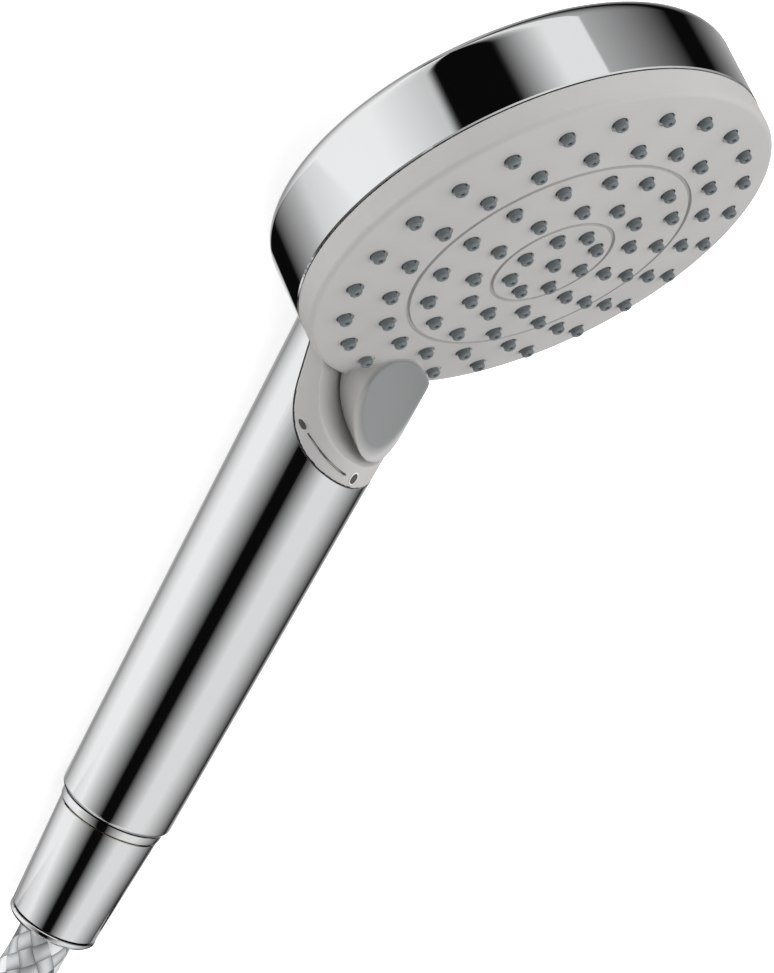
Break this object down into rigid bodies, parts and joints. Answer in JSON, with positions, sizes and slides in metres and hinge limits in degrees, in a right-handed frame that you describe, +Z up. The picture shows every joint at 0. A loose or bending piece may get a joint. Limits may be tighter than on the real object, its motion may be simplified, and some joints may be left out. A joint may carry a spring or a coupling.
{
  "type": "handheld shower head",
  "caption": "Hand-held shower head with a round domed spray face, a selector lever, a tapered handle, a conical hose nut and its full hose wound into a tied coil.",
  "frame": {"origin": "on the surface that the shower lies on, below the middle of the box round head, handle and conical hose nut", "axes": "+X from the head along the handle to the hose, +Z up out of the surface; the shower lies on its back with the spray face up"},
  "size_m": [0.4081, 0.1465, 0.0654],
  "materials": {
    "chrome": "polished chrome plating",
    "grey_plastic": "satin moulded warm grey",
    "silicone": "soft matt blue-grey",
    "white_plastic": "plain moulded",
    "black_rubber": "matt",
    "brass": "turned",
    "steel": "bright",
    "hose_braid": "silver and dark braid under a clear glossy jacket",
    "strap": "plain woven strap"
  },
  "bodies": {
    "shower_body": {"body_shell": "chrome", "inlet_ring": "chrome", "far_ferrule": "chrome", "collar": "grey_plastic", "glide_ring": "white_plastic", "inner_body": "white_plastic", "waterway_tube": "white_plastic", "check_valve_body": "white_plastic", "flow_limiter": "white_plastic", "hub_o_ring": "black_rubber", "port_seal_1": "black_rubber", "port_seal_2": "black_rubber", "insert_o_ring": "black_rubber", "hose_washer": "black_rubber", "far_washer": "black_rubber", "inlet_insert": "brass", "hose_tail": "brass", "far_tail": "brass", "retaining_screw": "steel", "retaining_washer": "steel", "detent_spring": "steel", "check_valve_spring": "steel", "filter_screen": "steel", "hose_ferrule": "steel", "hose_run": "hose_braid", "hose_coil": "hose_braid", "hose_end": "hose_braid", "hose_tie_1": "strap", "hose_tie_2": "strap"},
    "spray_disc": {"spray_face": "grey_plastic", "nozzle_mat": "silicone", "jet_plate": "white_plastic", "diverter_disc": "white_plastic"},
    "detent": {"detent_plunger": "steel"},
    "valve_poppet": {"check_valve_poppet": "white_plastic"},
    "hose_nut_body": {"hose_nut": "chrome", "hose_nut_ring": "chrome"},
    "far_nut_body": {"far_nut": "chrome"}
  },
  "joints": [
    {"name": "spray_select", "type": "hinge", "parent": "shower_body", "child": "spray_disc", "pos_m": [-0.06151, 0, 0.04697], "axis": [0.4617, 0, 0.887], "range_deg": [-12, 0]},
    {"name": "detent_press", "type": "slide", "parent": "shower_body", "child": "detent", "axis": [0.4617, 0, 0.887], "range_m": [-0.0012, 0], "stiffness_N_per_m": 400},
    {"name": "check_valve_open", "type": "slide", "parent": "shower_body", "child": "valve_poppet", "axis": [-0.9997, 0, 0.0244], "range_m": [0, 0.0025], "stiffness_N_per_m": 30},
    {"name": "hose_nut_turn", "type": "hinge", "parent": "shower_body", "child": "hose_nut_body", "pos_m": [0.10261, 0, 0.01218], "axis": [0.9997, 0, -0.0244], "continuous": true},
    {"name": "far_nut_turn", "type": "hinge", "parent": "shower_body", "child": "far_nut_body", "pos_m": [0.14867, 0.08301, 0.01322], "axis": [-0.9765, -0.1643, -0.1392], "continuous": true}
  ]
}
